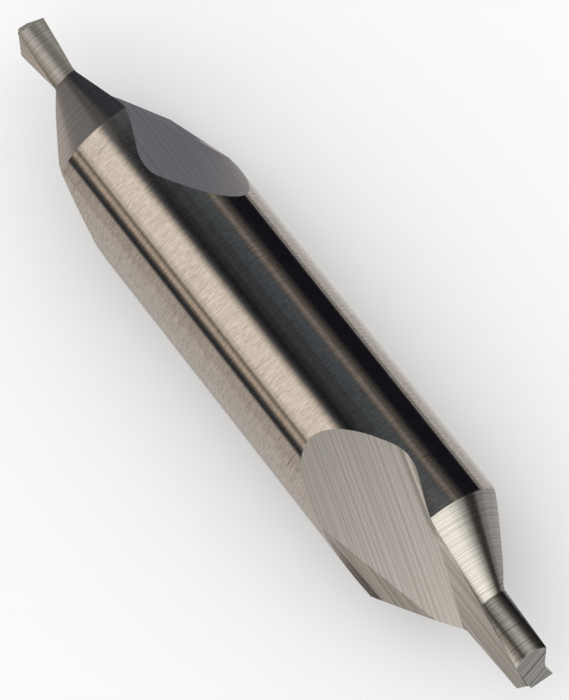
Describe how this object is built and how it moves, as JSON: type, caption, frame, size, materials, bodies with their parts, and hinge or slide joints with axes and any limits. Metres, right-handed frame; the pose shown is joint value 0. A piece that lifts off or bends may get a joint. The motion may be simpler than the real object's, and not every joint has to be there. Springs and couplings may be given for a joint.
{
  "type": "centre drill",
  "caption": "Round-shanked centre drill with a countersink cone and a short fluted pilot at either end, ground for right-hand cutting.",
  "frame": {"origin": "on the drill's axis, at the middle of its body and of its overall length", "axes": "+X along the axis towards the end whose point is nearest the picture's camera, +Z to the side where a flute and its land are both seen"},
  "size_m": [0.0542, 0.01, 0.01],
  "materials": {
    "ground_steel": "bright ground high speed steel"
  },
  "bodies": {
    "root": {"centre_drill": "ground_steel"}
  },
  "joints": []
}
